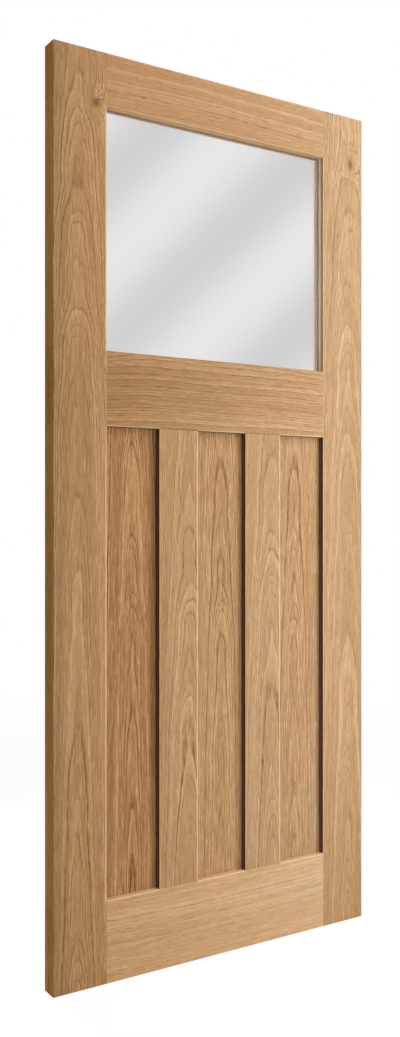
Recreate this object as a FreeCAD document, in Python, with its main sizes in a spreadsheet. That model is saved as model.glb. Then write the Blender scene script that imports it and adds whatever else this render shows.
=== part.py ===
import FreeCAD, Part
import os
from enum import IntEnum

import Sketcher

# Half glazed oak door leaf: two stiles, three rails and two muntins, framed with stub and blind
# tenons round three flat panels below and one pane of glass above, bedded on tape and held by
# four mitred beads on the back.
# The frame of the part: X runs from the hinge edge to the latch edge, Y from the front to the
# back with zero at mid-thickness, Z up from the foot of the leaf.

# Driving dimensions, in millimetres
DIMENSIONS = {
    "leaf_height": 1981.0,
    "leaf_width": 838.0,
    "leaf_thickness": 44.0,
    "stile_width": 124.0,
    "top_rail_height": 113.0,
    "sight_height": 520.0,
    "middle_rail_height": 161.0,
    "bottom_rail_height": 177.0,
    "muntin_width": 101.0,
    "arris_radius": 2.0,
    "panel_thickness": 15.0,
    "panel_fit": 0.15,
    "panel_swelling_room": 2.0,
    "groove_depth": 12.0,
    "tenon_thickness": 15.0,
    "tenon_length": 70.0,
    "tenon_fit": 0.1,
    "tenon_spacing": 30.0,
    "tenon_end_margin": 30.0,
    "mortice_end_room": 2.0,
    "stub_end_room": 1.0,
    "rebate_width": 14.0,
    "glass_thickness": 6.0,
    "glass_edge_room": 3.0,
    "tape_thickness": 1.5,
    "tape_setback": 1.5,
    "bead_setback": 1.0,
    "bead_quirk": 1.5,
    "bead_ovolo": 8.0,
    "setting_block_length": 100.0,
    "setting_block_inset": 75.0,
}

TOLERANCE = 1e-6
RIGHT_ANGLE = 90.0


class Point(IntEnum):
    """The points of a line or an arc in a sketch."""

    START = 1
    END = 2
    CENTRE = 3


class Axis(IntEnum):
    """The axes that every sketch has."""

    HORIZONTAL = -1
    VERTICAL = -2


class Size:
    """A length: its number now, and the formula that ties it to the sheet."""

    def __init__(self, number, formula):
        self.number = number
        self.formula = formula

    def __add__(self, other):
        return Size(self.number + other.number, f"({self.formula} + {other.formula})")

    def __sub__(self, other):
        return Size(self.number - other.number, f"({self.formula} - {other.formula})")

    def __neg__(self):
        return Size(-self.number, f"(-{self.formula})")

    def __mul__(self, factor):
        return Size(self.number * factor, f"({self.formula} * {factor})")

    def __truediv__(self, divisor):
        return Size(self.number / divisor, f"({self.formula} / {divisor})")


ZERO = Size(0.0, "0")

document = FreeCAD.newDocument("half_glazed_door")
sheet = document.addObject("Spreadsheet::Sheet", "Sizes")
for row, (alias, number) in enumerate(DIMENSIONS.items(), start=1):
    sheet.set(f"A{row}", alias)
    sheet.set(f"B{row}", str(number))
    sheet.setAlias(f"B{row}", alias)
document.recompute()


def sheet_size(alias):
    """Return the size that a named cell of the sheet holds."""
    return Size(float(sheet.get(alias)), f"Sizes.{alias}")


leaf_height = sheet_size("leaf_height")
leaf_width = sheet_size("leaf_width")
leaf_thickness = sheet_size("leaf_thickness")
stile_width = sheet_size("stile_width")
top_rail_height = sheet_size("top_rail_height")
sight_height = sheet_size("sight_height")
middle_rail_height = sheet_size("middle_rail_height")
bottom_rail_height = sheet_size("bottom_rail_height")
muntin_width = sheet_size("muntin_width")
arris_radius = sheet_size("arris_radius")
groove_depth = sheet_size("groove_depth")
tenon_length = sheet_size("tenon_length")
tenon_fit = sheet_size("tenon_fit")
tenon_end_margin = sheet_size("tenon_end_margin")
panel_thickness = sheet_size("panel_thickness")
rebate_width = sheet_size("rebate_width")
glass_thickness = sheet_size("glass_thickness")
glass_edge_room = sheet_size("glass_edge_room")
tape_thickness = sheet_size("tape_thickness")
tape_setback = sheet_size("tape_setback")
bead_quirk = sheet_size("bead_quirk")
bead_ovolo = sheet_size("bead_ovolo")
setting_block_length = sheet_size("setting_block_length")
setting_block_inset = sheet_size("setting_block_inset")

# Levels and widths of the frame, between the faces of its members
front_face = -leaf_thickness / 2
rail_length = leaf_width - stile_width * 2
top_rail_foot = leaf_height - top_rail_height
sight_foot = top_rail_foot - sight_height
middle_rail_foot = sight_foot - middle_rail_height
panel_opening_height = middle_rail_foot - bottom_rail_height
panel_opening_width = (rail_length - muntin_width * 2) / 3

# Panel groove, ploughed along the middle of the thickness
groove_width = panel_thickness + sheet_size("panel_fit") * 2
groove_front = (leaf_thickness - groove_width) / 2
groove_back = groove_front + groove_width
panel_tongue = groove_depth - sheet_size("panel_swelling_room")

# Tenons and the mortices that take them, also in the middle of the thickness
tenon_front = (leaf_thickness - sheet_size("tenon_thickness")) / 2
tenon_back = leaf_thickness - tenon_front
mortice_front = tenon_front - tenon_fit
mortice_back = tenon_back + tenon_fit
mortice_depth = tenon_length + sheet_size("mortice_end_room")
stub_front = groove_front + tenon_fit
stub_back = groove_back - tenon_fit
stub_length = groove_depth - sheet_size("stub_end_room")

# Glazing rebate: the pane stands in mid-thickness between two tapes, the bead fills the back
rebate_lip = (leaf_thickness - glass_thickness) / 2 - tape_thickness
rebate_length = rail_length + rebate_width * 2
rebate_height = sight_height + rebate_width * 2
rebate_left = stile_width - rebate_width
rebate_foot = sight_foot - rebate_width
bead_depth = rebate_lip - sheet_size("bead_setback")
pane_front = front_face + rebate_lip + tape_thickness
bead_front = pane_front + glass_thickness + tape_thickness


def twin_tenons(foot, head):
    """Split a rail's tenon zone into two tenons with the sheet's spacing between them."""
    tenon_height = (head - foot - sheet_size("tenon_spacing")) / 2
    return [(foot, foot + tenon_height), (head - tenon_height, head)]


# Foot and head of each tenon, measured up from the foot of its rail
TOP_TENONS = [(rebate_width, top_rail_height - tenon_end_margin)]
MIDDLE_TENONS = twin_tenons(groove_depth, middle_rail_height - rebate_width)
BOTTOM_TENONS = twin_tenons(tenon_end_margin, bottom_rail_height - groove_depth)

sub_parts = []


def new_body(label):
    """Start a sub-part under its own name."""
    body = document.addObject("PartDesign::Body", label)
    body.Label = label
    sub_parts.append(body)
    return body


def place(body, across, depth, height):
    """Stand a sub-part at its bound place in the leaf."""
    body.setExpression("Placement.Base.x", across.formula)
    body.setExpression("Placement.Base.y", depth.formula)
    body.setExpression("Placement.Base.z", height.formula)


def new_sketch(body, name, plane_role, offset):
    """Attach a sketch to one of the body's own planes, at a bound distance from it."""
    plane = next(item for item in body.Origin.OriginFeatures if item.Role == plane_role)
    sketch = body.newObject("Sketcher::SketchObject", f"{body.Label}_{name}_sketch")
    sketch.AttachmentSupport = [(plane, "")]
    sketch.MapMode = "FlatFace"
    sketch.setExpression("AttachmentOffset.Base.z", offset.formula)
    return sketch


def tie(sketch, direction, geometry, point, size):
    """Hold a sketch point at a bound distance from the sketch's origin along one direction."""
    if size.number == 0:
        axis = Axis.VERTICAL if direction == "DistanceX" else Axis.HORIZONTAL
        sketch.addConstraint(Sketcher.Constraint("PointOnObject", geometry, point, axis))
        return
    held = Sketcher.Constraint(direction, Axis.HORIZONTAL, Point.START, geometry, point, size.number)
    index = sketch.addConstraint(held)
    sketch.setExpression(f"Constraints[{index}]", size.formula)


def line(sketch, start, end):
    """Add a line between two pairs of sizes."""
    ends = [FreeCAD.Vector(across.number, up.number) for across, up in (start, end)]
    return sketch.addGeometry(Part.LineSegment(*ends))


def join(sketch, first, first_point, second, second_point):
    """Make two points of a sketch one."""
    sketch.addConstraint(Sketcher.Constraint("Coincident", first, first_point, second, second_point))


def outline(sketch, corners):
    """Draw a closed outline of level and upright lines through bound corners."""
    following = corners[1:] + corners[:1]
    lines = [line(sketch, start, end) for start, end in zip(corners, following)]
    for edge, after, start, end in zip(lines, lines[1:] + lines[:1], corners, following):
        join(sketch, edge, Point.END, after, Point.START)
        if abs(start[0].number - end[0].number) < TOLERANCE:
            sketch.addConstraint(Sketcher.Constraint("Vertical", edge))
            tie(sketch, "DistanceX", edge, Point.START, start[0])
        else:
            sketch.addConstraint(Sketcher.Constraint("Horizontal", edge))
            tie(sketch, "DistanceY", edge, Point.START, start[1])


def rectangle(sketch, left, right, foot, head):
    """Draw a bound rectangle."""
    outline(sketch, [(left, foot), (right, foot), (right, head), (left, head)])


def rounded_waste(sketch, corner, inward):
    """Draw what an arris round takes off a square corner: two lines and the round between them."""
    across, up = corner
    reach = [arris_radius * step for step in inward]
    level = line(sketch, corner, (across + reach[0], up))
    upright = line(sketch, corner, (across, up + reach[1]))
    centre = FreeCAD.Vector(across.number + reach[0].number, up.number + reach[1].number)
    circle = Part.Circle(centre, FreeCAD.Vector(0, 0, 1), arris_radius.number)
    round_start, round_end = Point.END, Point.START
    ends = [circle.parameter(sketch.Geometry[edge].EndPoint) for edge in (upright, level)]
    if inward[0] * inward[1] < 0:
        ends.reverse()
        round_start, round_end = Point.START, Point.END
    arc = sketch.addGeometry(Part.ArcOfCircle(circle, *ends))
    join(sketch, level, Point.START, upright, Point.START)
    join(sketch, level, Point.END, arc, round_start)
    join(sketch, upright, Point.END, arc, round_end)
    sketch.addConstraint(Sketcher.Constraint("Horizontal", level))
    sketch.addConstraint(Sketcher.Constraint("Vertical", upright))
    sketch.addConstraint(Sketcher.Constraint("Vertical", arc, Point.CENTRE, level, Point.END))
    sketch.addConstraint(Sketcher.Constraint("Horizontal", arc, Point.CENTRE, upright, Point.END))
    tie(sketch, "DistanceX", level, Point.START, across)
    tie(sketch, "DistanceY", level, Point.START, up)
    radius = sketch.addConstraint(Sketcher.Constraint("Radius", arc, arris_radius.number))
    sketch.setExpression(f"Constraints[{radius}]", arris_radius.formula)


def pad(body, name, sketch, length, backwards=False):
    """Give a sketch a bound thickness along its normal, or against it."""
    feature = body.newObject("PartDesign::Pad", f"{body.Label}_{name}")
    feature.Profile = sketch
    feature.setExpression("Length", length.formula)
    feature.Reversed = backwards
    document.recompute()


def cut(body, name, sketch, depth, backwards=False):
    """Sink a sketch into the body against its normal, or along it, and see that wood came away."""
    before = body.Shape.Volume
    feature = body.newObject("PartDesign::Pocket", f"{body.Label}_{name}")
    feature.Profile = sketch
    feature.setExpression("Length", depth.formula)
    feature.Reversed = backwards
    document.recompute()
    if body.Shape.Volume > before - TOLERANCE:
        raise ValueError(f"{feature.Label} cut nothing")


def round_arrises(body, lines):
    """Round the long edges that lie on the given lines, each a place with one axis left open."""
    base = body.Tip
    picked = []
    for number, edge in enumerate(base.Shape.Edges, start=1):
        ends = [vertex.Point for vertex in edge.Vertexes]
        for place_on_line in lines:
            held = [(axis, size.number) for axis, size in enumerate(place_on_line) if size]
            if all(abs(end[axis] - value) < TOLERANCE for end in ends for axis, value in held):
                picked.append(f"Edge{number}")
    if len(picked) != len(lines):
        raise ValueError(f"{body.Label} has {len(picked)} of {len(lines)} edges to round")
    feature = body.newObject("PartDesign::Fillet", f"{body.Label}_arrises")
    feature.Base = (base, picked)
    feature.setExpression("Radius", arris_radius.formula)
    document.recompute()


def build_stile(label, left_edge, inner_edge, outer_edge, inward):
    """Make a stile with its mortices, panel groove, glazing rebate and eased arrises."""
    body = new_body(label)
    section = new_sketch(body, "section", "XY_Plane", ZERO)
    rectangle(section, ZERO, stile_width, ZERO, leaf_thickness)
    pad(body, "blank", section, leaf_height)
    round_arrises(body, [(outer_edge, ZERO, None), (outer_edge, leaf_thickness, None)])

    mortices = new_sketch(body, "mortices", "YZ_Plane", inner_edge)
    rails = [(top_rail_foot, TOP_TENONS), (middle_rail_foot, MIDDLE_TENONS), (ZERO, BOTTOM_TENONS)]
    for rail_foot, tenons in rails:
        for foot, head in tenons:
            low = rail_foot + foot - tenon_fit
            high = rail_foot + head + tenon_fit
            rectangle(mortices, mortice_front, mortice_back, low, high)
    into_wood = inward > 0
    cut(body, "mortices", mortices, mortice_depth, into_wood)

    groove = new_sketch(body, "groove", "YZ_Plane", inner_edge)
    groove_foot = bottom_rail_height - groove_depth
    groove_head = middle_rail_foot + groove_depth
    rectangle(groove, groove_front, groove_back, groove_foot, groove_head)
    cut(body, "groove", groove, groove_depth, into_wood)

    rebate = new_sketch(body, "rebate", "YZ_Plane", inner_edge)
    rectangle(rebate, rebate_lip, leaf_thickness, rebate_foot, rebate_foot + rebate_height)
    cut(body, "rebate", rebate, rebate_width, into_wood)

    panel_arrises = new_sketch(body, "panel_arrises", "XY_Plane", bottom_rail_height)
    rounded_waste(panel_arrises, (inner_edge, ZERO), (inward, 1))
    rounded_waste(panel_arrises, (inner_edge, leaf_thickness), (inward, -1))
    cut(body, "panel_arrises", panel_arrises, panel_opening_height, True)

    sight_arris = new_sketch(body, "sight_arris", "XY_Plane", sight_foot)
    rounded_waste(sight_arris, (inner_edge, ZERO), (inward, 1))
    cut(body, "sight_arris", sight_arris, sight_height, True)
    place(body, left_edge, front_face, ZERO)


def build_rail(label, rail_foot, section_corners, arrises, tenons):
    """Make a rail from its section, with tenons on both ends and eased arrises between them."""
    body = new_body(label)
    section = new_sketch(body, "section", "YZ_Plane", ZERO)
    outline(section, section_corners)
    pad(body, "blank", section, rail_length)
    round_arrises(body, [(None, depth, height) for depth, height in arrises])
    for side, shoulder, outwards in (("left", ZERO, True), ("right", rail_length, False)):
        tenon_ends = new_sketch(body, f"{side}_tenons", "YZ_Plane", shoulder)
        for foot, head in tenons:
            rectangle(tenon_ends, tenon_front, tenon_back, foot, head)
        pad(body, f"{side}_tenons", tenon_ends, tenon_length, outwards)
    place(body, stile_width, front_face, rail_foot)


def build_muntin(label, left_edge):
    """Make a muntin: an H section between the rails, with a stub tenon in each rail's groove."""
    body = new_body(label)
    left_floor = groove_depth
    right_floor = muntin_width - groove_depth
    section = new_sketch(body, "section", "XY_Plane", ZERO)
    outline(section, [
        (ZERO, ZERO),
        (muntin_width, ZERO),
        (muntin_width, groove_front),
        (right_floor, groove_front),
        (right_floor, groove_back),
        (muntin_width, groove_back),
        (muntin_width, leaf_thickness),
        (ZERO, leaf_thickness),
        (ZERO, groove_back),
        (left_floor, groove_back),
        (left_floor, groove_front),
        (ZERO, groove_front),
    ])
    pad(body, "blank", section, panel_opening_height)
    edges = [(across, depth) for across in (ZERO, muntin_width) for depth in (ZERO, leaf_thickness)]
    round_arrises(body, [(across, depth, None) for across, depth in edges])
    for end, shoulder, outwards in (("foot", ZERO, True), ("head", panel_opening_height, False)):
        stub = new_sketch(body, f"{end}_stub", "XY_Plane", shoulder)
        rectangle(stub, left_floor, right_floor, stub_front, stub_back)
        pad(body, f"{end}_stub", stub, stub_length, outwards)
    place(body, left_edge, front_face, bottom_rail_height)


def build_panel(label, opening_left):
    """Make a flat panel that stands on the bottom rail's groove and floats in the others."""
    body = new_body(label)
    section = new_sketch(body, "section", "XY_Plane", ZERO)
    rectangle(section, ZERO, panel_opening_width + panel_tongue * 2, ZERO, panel_thickness)
    pad(body, "board", section, groove_depth + panel_opening_height + panel_tongue)
    panel_front = -panel_thickness / 2
    place(body, opening_left - panel_tongue, panel_front, bottom_rail_height - groove_depth)


def build_pane():
    """Make the pane, with room round its edges in the rebate."""
    body = new_body("glass_pane")
    section = new_sketch(body, "section", "XY_Plane", ZERO)
    rectangle(section, ZERO, rebate_length - glass_edge_room * 2, ZERO, glass_thickness)
    pad(body, "sheet", section, rebate_height - glass_edge_room * 2)
    place(body, rebate_left + glass_edge_room, pane_front, rebate_foot + glass_edge_room)


def build_tape(label, depth):
    """Make a glazing tape: a flat ring from the pane's edge to just behind the sight line."""
    body = new_body(label)
    inner_edge = rebate_width - tape_setback
    ring = new_sketch(body, "ring", "XZ_Plane", ZERO)
    outer_head = rebate_height - glass_edge_room
    rectangle(ring, glass_edge_room, rebate_length - glass_edge_room, glass_edge_room, outer_head)
    rectangle(ring, inner_edge, rebate_length - inner_edge, inner_edge, rebate_height - inner_edge)
    pad(body, "tape", ring, tape_thickness, True)
    place(body, rebate_left, depth, rebate_foot)


def build_setting_block(label, left_edge):
    """Make one of the two blocks that carry the pane on the floor of the rebate."""
    body = new_body(label)
    section = new_sketch(body, "section", "XY_Plane", ZERO)
    rectangle(section, ZERO, setting_block_length, ZERO, glass_thickness + tape_thickness * 2)
    pad(body, "block", section, glass_edge_room)
    place(body, left_edge, pane_front - tape_thickness, rebate_foot)


def bead_section(sketch):
    """Draw the bead's section: square to the rebate, with a quirk and an ovolo on the back."""
    crown = rebate_width - bead_quirk
    shoulder = bead_depth - bead_ovolo
    spring = crown - bead_ovolo
    corners = [
        (shoulder, crown),
        (shoulder, rebate_width),
        (ZERO, rebate_width),
        (ZERO, ZERO),
        (bead_depth, ZERO),
        (bead_depth, spring),
    ]
    lines = [line(sketch, start, end) for start, end in zip(corners, corners[1:])]
    for edge, after in zip(lines, lines[1:]):
        join(sketch, edge, Point.END, after, Point.START)
    for edge, upright in zip(lines, (True, False, True, False, True)):
        kind = "Vertical" if upright else "Horizontal"
        sketch.addConstraint(Sketcher.Constraint(kind, edge))
    quirk, sight_face, glass_face, floor_face, back_face = lines
    centre = FreeCAD.Vector(shoulder.number, spring.number)
    circle = Part.Circle(centre, FreeCAD.Vector(0, 0, 1), bead_ovolo.number)
    ends = [circle.parameter(FreeCAD.Vector(*(size.number for size in end)))
            for end in (corners[-1], corners[0])]
    ovolo = sketch.addGeometry(Part.ArcOfCircle(circle, *ends))
    join(sketch, back_face, Point.END, ovolo, Point.START)
    join(sketch, quirk, Point.START, ovolo, Point.END)
    sketch.addConstraint(Sketcher.Constraint("Vertical", ovolo, Point.CENTRE, quirk, Point.START))
    sketch.addConstraint(Sketcher.Constraint("Horizontal", ovolo, Point.CENTRE, back_face, Point.END))
    tie(sketch, "DistanceX", quirk, Point.START, shoulder)
    tie(sketch, "DistanceY", quirk, Point.START, crown)
    tie(sketch, "DistanceY", sight_face, Point.START, rebate_width)
    tie(sketch, "DistanceX", glass_face, Point.START, ZERO)
    tie(sketch, "DistanceY", floor_face, Point.START, ZERO)
    tie(sketch, "DistanceX", back_face, Point.START, bead_depth)


def mitre_waste(sketch, across, inward):
    """Draw the corner that a mitre saws off one end of a bead: a triangle as wide as it is high."""
    head = (across, rebate_width)
    inner = (across + rebate_width * inward, rebate_width)
    end_face = line(sketch, (across, ZERO), head)
    top_face = line(sketch, head, inner)
    saw_face = line(sketch, inner, (across, ZERO))
    join(sketch, end_face, Point.END, top_face, Point.START)
    join(sketch, top_face, Point.END, saw_face, Point.START)
    join(sketch, saw_face, Point.END, end_face, Point.START)
    sketch.addConstraint(Sketcher.Constraint("Vertical", end_face))
    sketch.addConstraint(Sketcher.Constraint("Horizontal", top_face))
    tie(sketch, "DistanceX", end_face, Point.START, across)
    tie(sketch, "DistanceY", end_face, Point.START, ZERO)
    tie(sketch, "DistanceY", top_face, Point.START, rebate_width)
    tie(sketch, "DistanceX", top_face, Point.END, inner[0])


def build_bead(label, length, turn, across, height):
    """Make a mitred bead along its own side of the rebate, its sight face towards the pane."""
    body = new_body(label)
    section = new_sketch(body, "section", "YZ_Plane", ZERO)
    bead_section(section)
    pad(body, "moulding", section, length)
    mitres = new_sketch(body, "mitres", "XZ_Plane", ZERO)
    mitre_waste(mitres, ZERO, 1)
    mitre_waste(mitres, length, -1)
    cut(body, "mitres", mitres, bead_depth)
    turned = FreeCAD.Rotation(FreeCAD.Vector(0, 1, 0), turn)
    body.Placement = FreeCAD.Placement(FreeCAD.Vector(), turned)
    place(body, across, bead_front, height)


# Frame
right_stile_left = leaf_width - stile_width
build_stile("left_stile", ZERO, stile_width, ZERO, -1)
build_stile("right_stile", right_stile_left, ZERO, stile_width, 1)

build_rail(
    "top_rail",
    top_rail_foot,
    [
        (ZERO, ZERO),
        (rebate_lip, ZERO),
        (rebate_lip, rebate_width),
        (leaf_thickness, rebate_width),
        (leaf_thickness, top_rail_height),
        (ZERO, top_rail_height),
    ],
    [(ZERO, ZERO)],
    TOP_TENONS,
)

middle_rebate_floor = middle_rail_height - rebate_width
build_rail(
    "middle_rail",
    middle_rail_foot,
    [
        (ZERO, ZERO),
        (groove_front, ZERO),
        (groove_front, groove_depth),
        (groove_back, groove_depth),
        (groove_back, ZERO),
        (leaf_thickness, ZERO),
        (leaf_thickness, middle_rebate_floor),
        (rebate_lip, middle_rebate_floor),
        (rebate_lip, middle_rail_height),
        (ZERO, middle_rail_height),
    ],
    [(ZERO, ZERO), (leaf_thickness, ZERO), (ZERO, middle_rail_height)],
    MIDDLE_TENONS,
)

bottom_groove_floor = bottom_rail_height - groove_depth
build_rail(
    "bottom_rail",
    ZERO,
    [
        (ZERO, ZERO),
        (leaf_thickness, ZERO),
        (leaf_thickness, bottom_rail_height),
        (groove_back, bottom_rail_height),
        (groove_back, bottom_groove_floor),
        (groove_front, bottom_groove_floor),
        (groove_front, bottom_rail_height),
        (ZERO, bottom_rail_height),
    ],
    [(ZERO, bottom_rail_height), (leaf_thickness, bottom_rail_height)],
    BOTTOM_TENONS,
)

# Panels, with a muntin after each but the last
panel_pitch = panel_opening_width + muntin_width
for index, label in enumerate(("left_panel", "centre_panel", "right_panel")):
    build_panel(label, stile_width + panel_pitch * index)
for index, label in enumerate(("left_muntin", "right_muntin")):
    build_muntin(label, stile_width + panel_opening_width + panel_pitch * index)

# Glazing
build_setting_block("left_setting_block", rebate_left + setting_block_inset)
right_block_left = rebate_left + rebate_length - setting_block_inset - setting_block_length
build_setting_block("right_setting_block", right_block_left)
build_tape("front_glazing_tape", pane_front - tape_thickness)
build_pane()
build_tape("back_glazing_tape", pane_front + glass_thickness)

rebate_right = rebate_left + rebate_length
rebate_head = rebate_foot + rebate_height
build_bead("bottom_glazing_bead", rebate_length, 0.0, rebate_left, rebate_foot)
build_bead("right_glazing_bead", rebate_height, -RIGHT_ANGLE, rebate_right, rebate_foot)
build_bead("top_glazing_bead", rebate_length, 2 * RIGHT_ANGLE, rebate_right, rebate_head)
build_bead("left_glazing_bead", rebate_height, RIGHT_ANGLE, rebate_left, rebate_head)

document.recompute()
for item in document.Objects:
    if {"Invalid", "Error"} & set(item.State):
        raise ValueError(f"{item.Label} failed: {item.State}")
for body in sub_parts:
    if body.Shape.isNull() or not body.Shape.isValid():
        raise ValueError(f"{body.Label} has no valid shape")

os.makedirs("parts", exist_ok=True)
for body in sub_parts:
    body.Shape.exportStep(f"parts/{body.Label}.step")
    print(body.Label, round(body.Shape.Volume), len(body.Shape.Solids), body.Shape.BoundBox)
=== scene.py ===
"""Half glazed oak door leaf: oak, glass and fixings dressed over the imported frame, in a pale studio."""

import logging
import math
from dataclasses import dataclass, field
from enum import Enum

import bmesh
import bpy
from mathutils import Matrix, Vector


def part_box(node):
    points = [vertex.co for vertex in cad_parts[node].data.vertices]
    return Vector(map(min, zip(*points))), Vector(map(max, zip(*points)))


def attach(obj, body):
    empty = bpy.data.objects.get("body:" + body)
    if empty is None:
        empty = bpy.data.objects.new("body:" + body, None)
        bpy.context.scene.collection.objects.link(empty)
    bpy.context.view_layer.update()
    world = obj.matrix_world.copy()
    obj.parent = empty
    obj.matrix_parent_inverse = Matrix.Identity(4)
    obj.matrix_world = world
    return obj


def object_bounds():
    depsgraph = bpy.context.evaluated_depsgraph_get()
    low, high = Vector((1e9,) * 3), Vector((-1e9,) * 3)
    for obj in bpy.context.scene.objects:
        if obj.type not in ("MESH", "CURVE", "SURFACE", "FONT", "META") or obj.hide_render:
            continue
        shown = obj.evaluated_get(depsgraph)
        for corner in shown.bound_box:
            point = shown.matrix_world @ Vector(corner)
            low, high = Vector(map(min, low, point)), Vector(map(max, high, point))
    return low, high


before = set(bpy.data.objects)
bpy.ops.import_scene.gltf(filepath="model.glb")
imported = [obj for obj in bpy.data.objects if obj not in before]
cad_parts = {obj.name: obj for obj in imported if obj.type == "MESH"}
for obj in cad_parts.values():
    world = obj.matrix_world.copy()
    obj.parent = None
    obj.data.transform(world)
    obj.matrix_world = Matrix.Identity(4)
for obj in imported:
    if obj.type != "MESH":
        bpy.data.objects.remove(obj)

CAD_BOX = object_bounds()
MILLIMETRE = 0.001
BODY = "root"

Socket = bpy.types.NodeSocket
Feed = Socket | Vector | float | tuple[float, ...]
Colour = tuple[float, float, float]
Point = tuple[float, float, float]
Waves = tuple[float, float, float]
Span = tuple[float, float]

BLACK: Colour = (0.0, 0.0, 0.0)
WHITE: Colour = (1.0, 1.0, 1.0)

log = logging.getLogger("door")


class GrainRun(Enum):
    """Which way the grain of a member runs in the leaf."""

    UPRIGHT = "upright"
    LEVEL = "level"


class Graph:
    """Adds nodes to one node tree and links them."""

    NOISE_ROUGHNESS = 0.55
    NOISE_MIDDLE = 0.5

    def __init__(self, tree: bpy.types.NodeTree) -> None:
        """Keep the tree that the nodes go into."""
        self.tree = tree

    def node(self, kind: str, *values: Feed, **settings: object) -> bpy.types.Node:
        """Add a node.

        Args:
            kind: Blender's name of the node type.
            values: What goes into its inputs, in their order.
            settings: Properties of the node and their values.

        Returns:
            The new node.
        """
        made = self.tree.nodes.new(kind)
        for name, value in settings.items():
            setattr(made, name, value)
        for socket, value in zip(made.inputs, values):
            self.feed(socket, value)
        return made

    def feed(self, socket: Socket, value: Feed) -> None:
        """Link a value to an input, or set it as the input's own.

        Args:
            socket: The input.
            value: The output of another node, a number, a vector or an opaque colour.
        """
        if isinstance(value, Socket):
            self.tree.links.new(value, socket)
        elif socket.type == "RGBA":
            socket.default_value = (*value, 1.0)
        else:
            socket.default_value = value

    def math(self, operation: str, *values: Feed) -> Socket:
        """Return the result of a Math node."""
        return self.node("ShaderNodeMath", *values, operation=operation).outputs[0]

    def vector_math(self, operation: str, *values: Feed) -> Socket:
        """Return the vector that a Vector Math node gives."""
        return self.node("ShaderNodeVectorMath", *values, operation=operation).outputs["Vector"]

    def dot(self, first: Feed, second: Feed) -> Socket:
        """Return the dot product of two vectors."""
        return self.node("ShaderNodeVectorMath", first, second, operation="DOT_PRODUCT").outputs["Value"]

    def split(self, vector: Feed) -> tuple[Socket, ...]:
        """Return the three parts of a vector."""
        return tuple(self.node("ShaderNodeSeparateXYZ", vector).outputs)

    def flip(self, value: Feed) -> Socket:
        """Return what a value leaves of 1."""
        return self.math("SUBTRACT", 1.0, value)

    def soften(self, value: Feed, share: float) -> Socket:
        """Return 1 where a value is 1, and what the share leaves of 1 where it is 0."""
        return self.math("MULTIPLY_ADD", value, share, 1.0 - share)

    def step(self, value: Feed, low: Feed, high: Feed) -> Socket:
        """Return a smooth step from 0 at low to 1 at high."""
        made = self.node("ShaderNodeMapRange", value, low, high, interpolation_type="SMOOTHSTEP")
        return made.outputs["Result"]

    def noise(self, vector: Feed, waves: Feed, seed: Feed, detail: float = 2.0) -> bpy.types.Node:
        """Add a noise texture whose waves may differ along each axis.

        Args:
            vector: Where the noise is read.
            waves: Waves a metre along each axis.
            seed: Place on the fourth axis, which tells one board from another.
            detail: Octaves of finer noise.

        Returns:
            The noise node, with a value and a colour to read.
        """
        made = self.node("ShaderNodeTexNoise", noise_dimensions="4D")
        self.feed(made.inputs["Vector"], self.vector_math("MULTIPLY", vector, waves))
        self.feed(made.inputs["W"], seed)
        self.feed(made.inputs["Scale"], 1.0)
        self.feed(made.inputs["Detail"], detail)
        self.feed(made.inputs["Roughness"], self.NOISE_ROUGHNESS)
        return made

    def around_one(self, noise: bpy.types.Node) -> Socket:
        """Return a noise moved up so that it varies round 1."""
        return self.math("ADD", noise.outputs[0], self.NOISE_MIDDLE)

    def blend(self, factor: Feed, first: Feed, second: Feed, mode: str = "MIX") -> Socket:
        """Mix two colours.

        Args:
            factor: Share of the second colour.
            first: The colour at 0.
            second: The colour at 1.
            mode: Blender's name of the blend mode.

        Returns:
            The mixed colour.
        """
        made = self.node("ShaderNodeMix", data_type="RGBA", blend_type=mode)
        colours = [socket for socket in made.inputs if socket.type == "RGBA"]
        self.feed(made.inputs["Factor"], factor)
        self.feed(colours[0], first)
        self.feed(colours[1], second)
        return next(socket for socket in made.outputs if socket.type == "RGBA")

    def ramp(self, value: Feed, stops: tuple[tuple[float, Colour], ...], run: str = "LINEAR") -> Socket:
        """Turn a value into a colour.

        Args:
            value: Place on the ramp.
            stops: Places and their colours, from low to high.
            run: Blender's name of the way from stop to stop.

        Returns:
            The colour at that place.
        """
        made = self.node("ShaderNodeValToRGB", value)
        made.color_ramp.interpolation = run
        elements = made.color_ramp.elements
        while len(elements) < len(stops):
            elements.new(0.5)
        for element, (position, colour) in zip(elements, stops):
            element.position = position
            element.color = (*colour, 1.0)
        return made.outputs["Color"]

    def group(self, tree: bpy.types.NodeTree, **inputs: Feed) -> bpy.types.Node:
        """Place a node group.

        Args:
            tree: The group.
            inputs: Values of its inputs, with _ for a blank in a name.

        Returns:
            The group's node.
        """
        made = self.node("ShaderNodeGroup", node_tree=tree)
        for name, value in inputs.items():
            self.feed(made.inputs[name.replace("_", " ").title()], value)
        return made


class SocketKind(Enum):
    """What a socket of an effect carries."""

    VALUE = "NodeSocketFloat"
    VECTOR = "NodeSocketVector"
    COLOUR = "NodeSocketColor"


Sockets = dict[SocketKind, tuple[str, ...]]


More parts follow.
